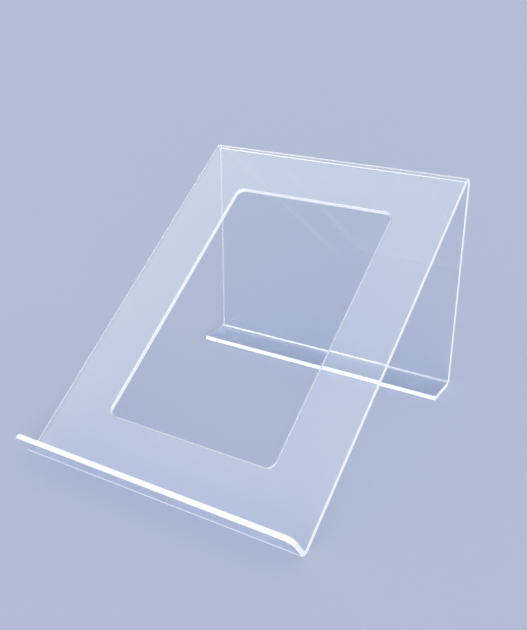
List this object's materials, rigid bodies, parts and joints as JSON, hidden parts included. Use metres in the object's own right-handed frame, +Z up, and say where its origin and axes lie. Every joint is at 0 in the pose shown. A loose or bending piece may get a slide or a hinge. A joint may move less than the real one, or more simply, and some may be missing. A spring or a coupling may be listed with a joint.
{
  "type": "tablet stand",
  "caption": "Clear acrylic tablet stand line-bent from sheet: front ledge, sloped panel with a large window, upright rear leg and turned-in foot.",
  "frame": {"origin": "on the table, under the middle of the stand's outer box", "axes": "+Y to the back, away from the person using it; +X to the right; +Z up"},
  "size_m": [0.18, 0.2178, 0.1429],
  "materials": {
    "clear_acrylic": "clear cast acrylic, glossy faces and bright white polished edges",
    "clear_silicone": "clear soft silicone, satin"
  },
  "bodies": {
    "root": {"bent_sheet": "clear_acrylic", "foot_pad_left": "clear_silicone", "foot_pad_right": "clear_silicone", "ledge_pad_left": "clear_silicone", "ledge_pad_right": "clear_silicone"}
  },
  "joints": []
}
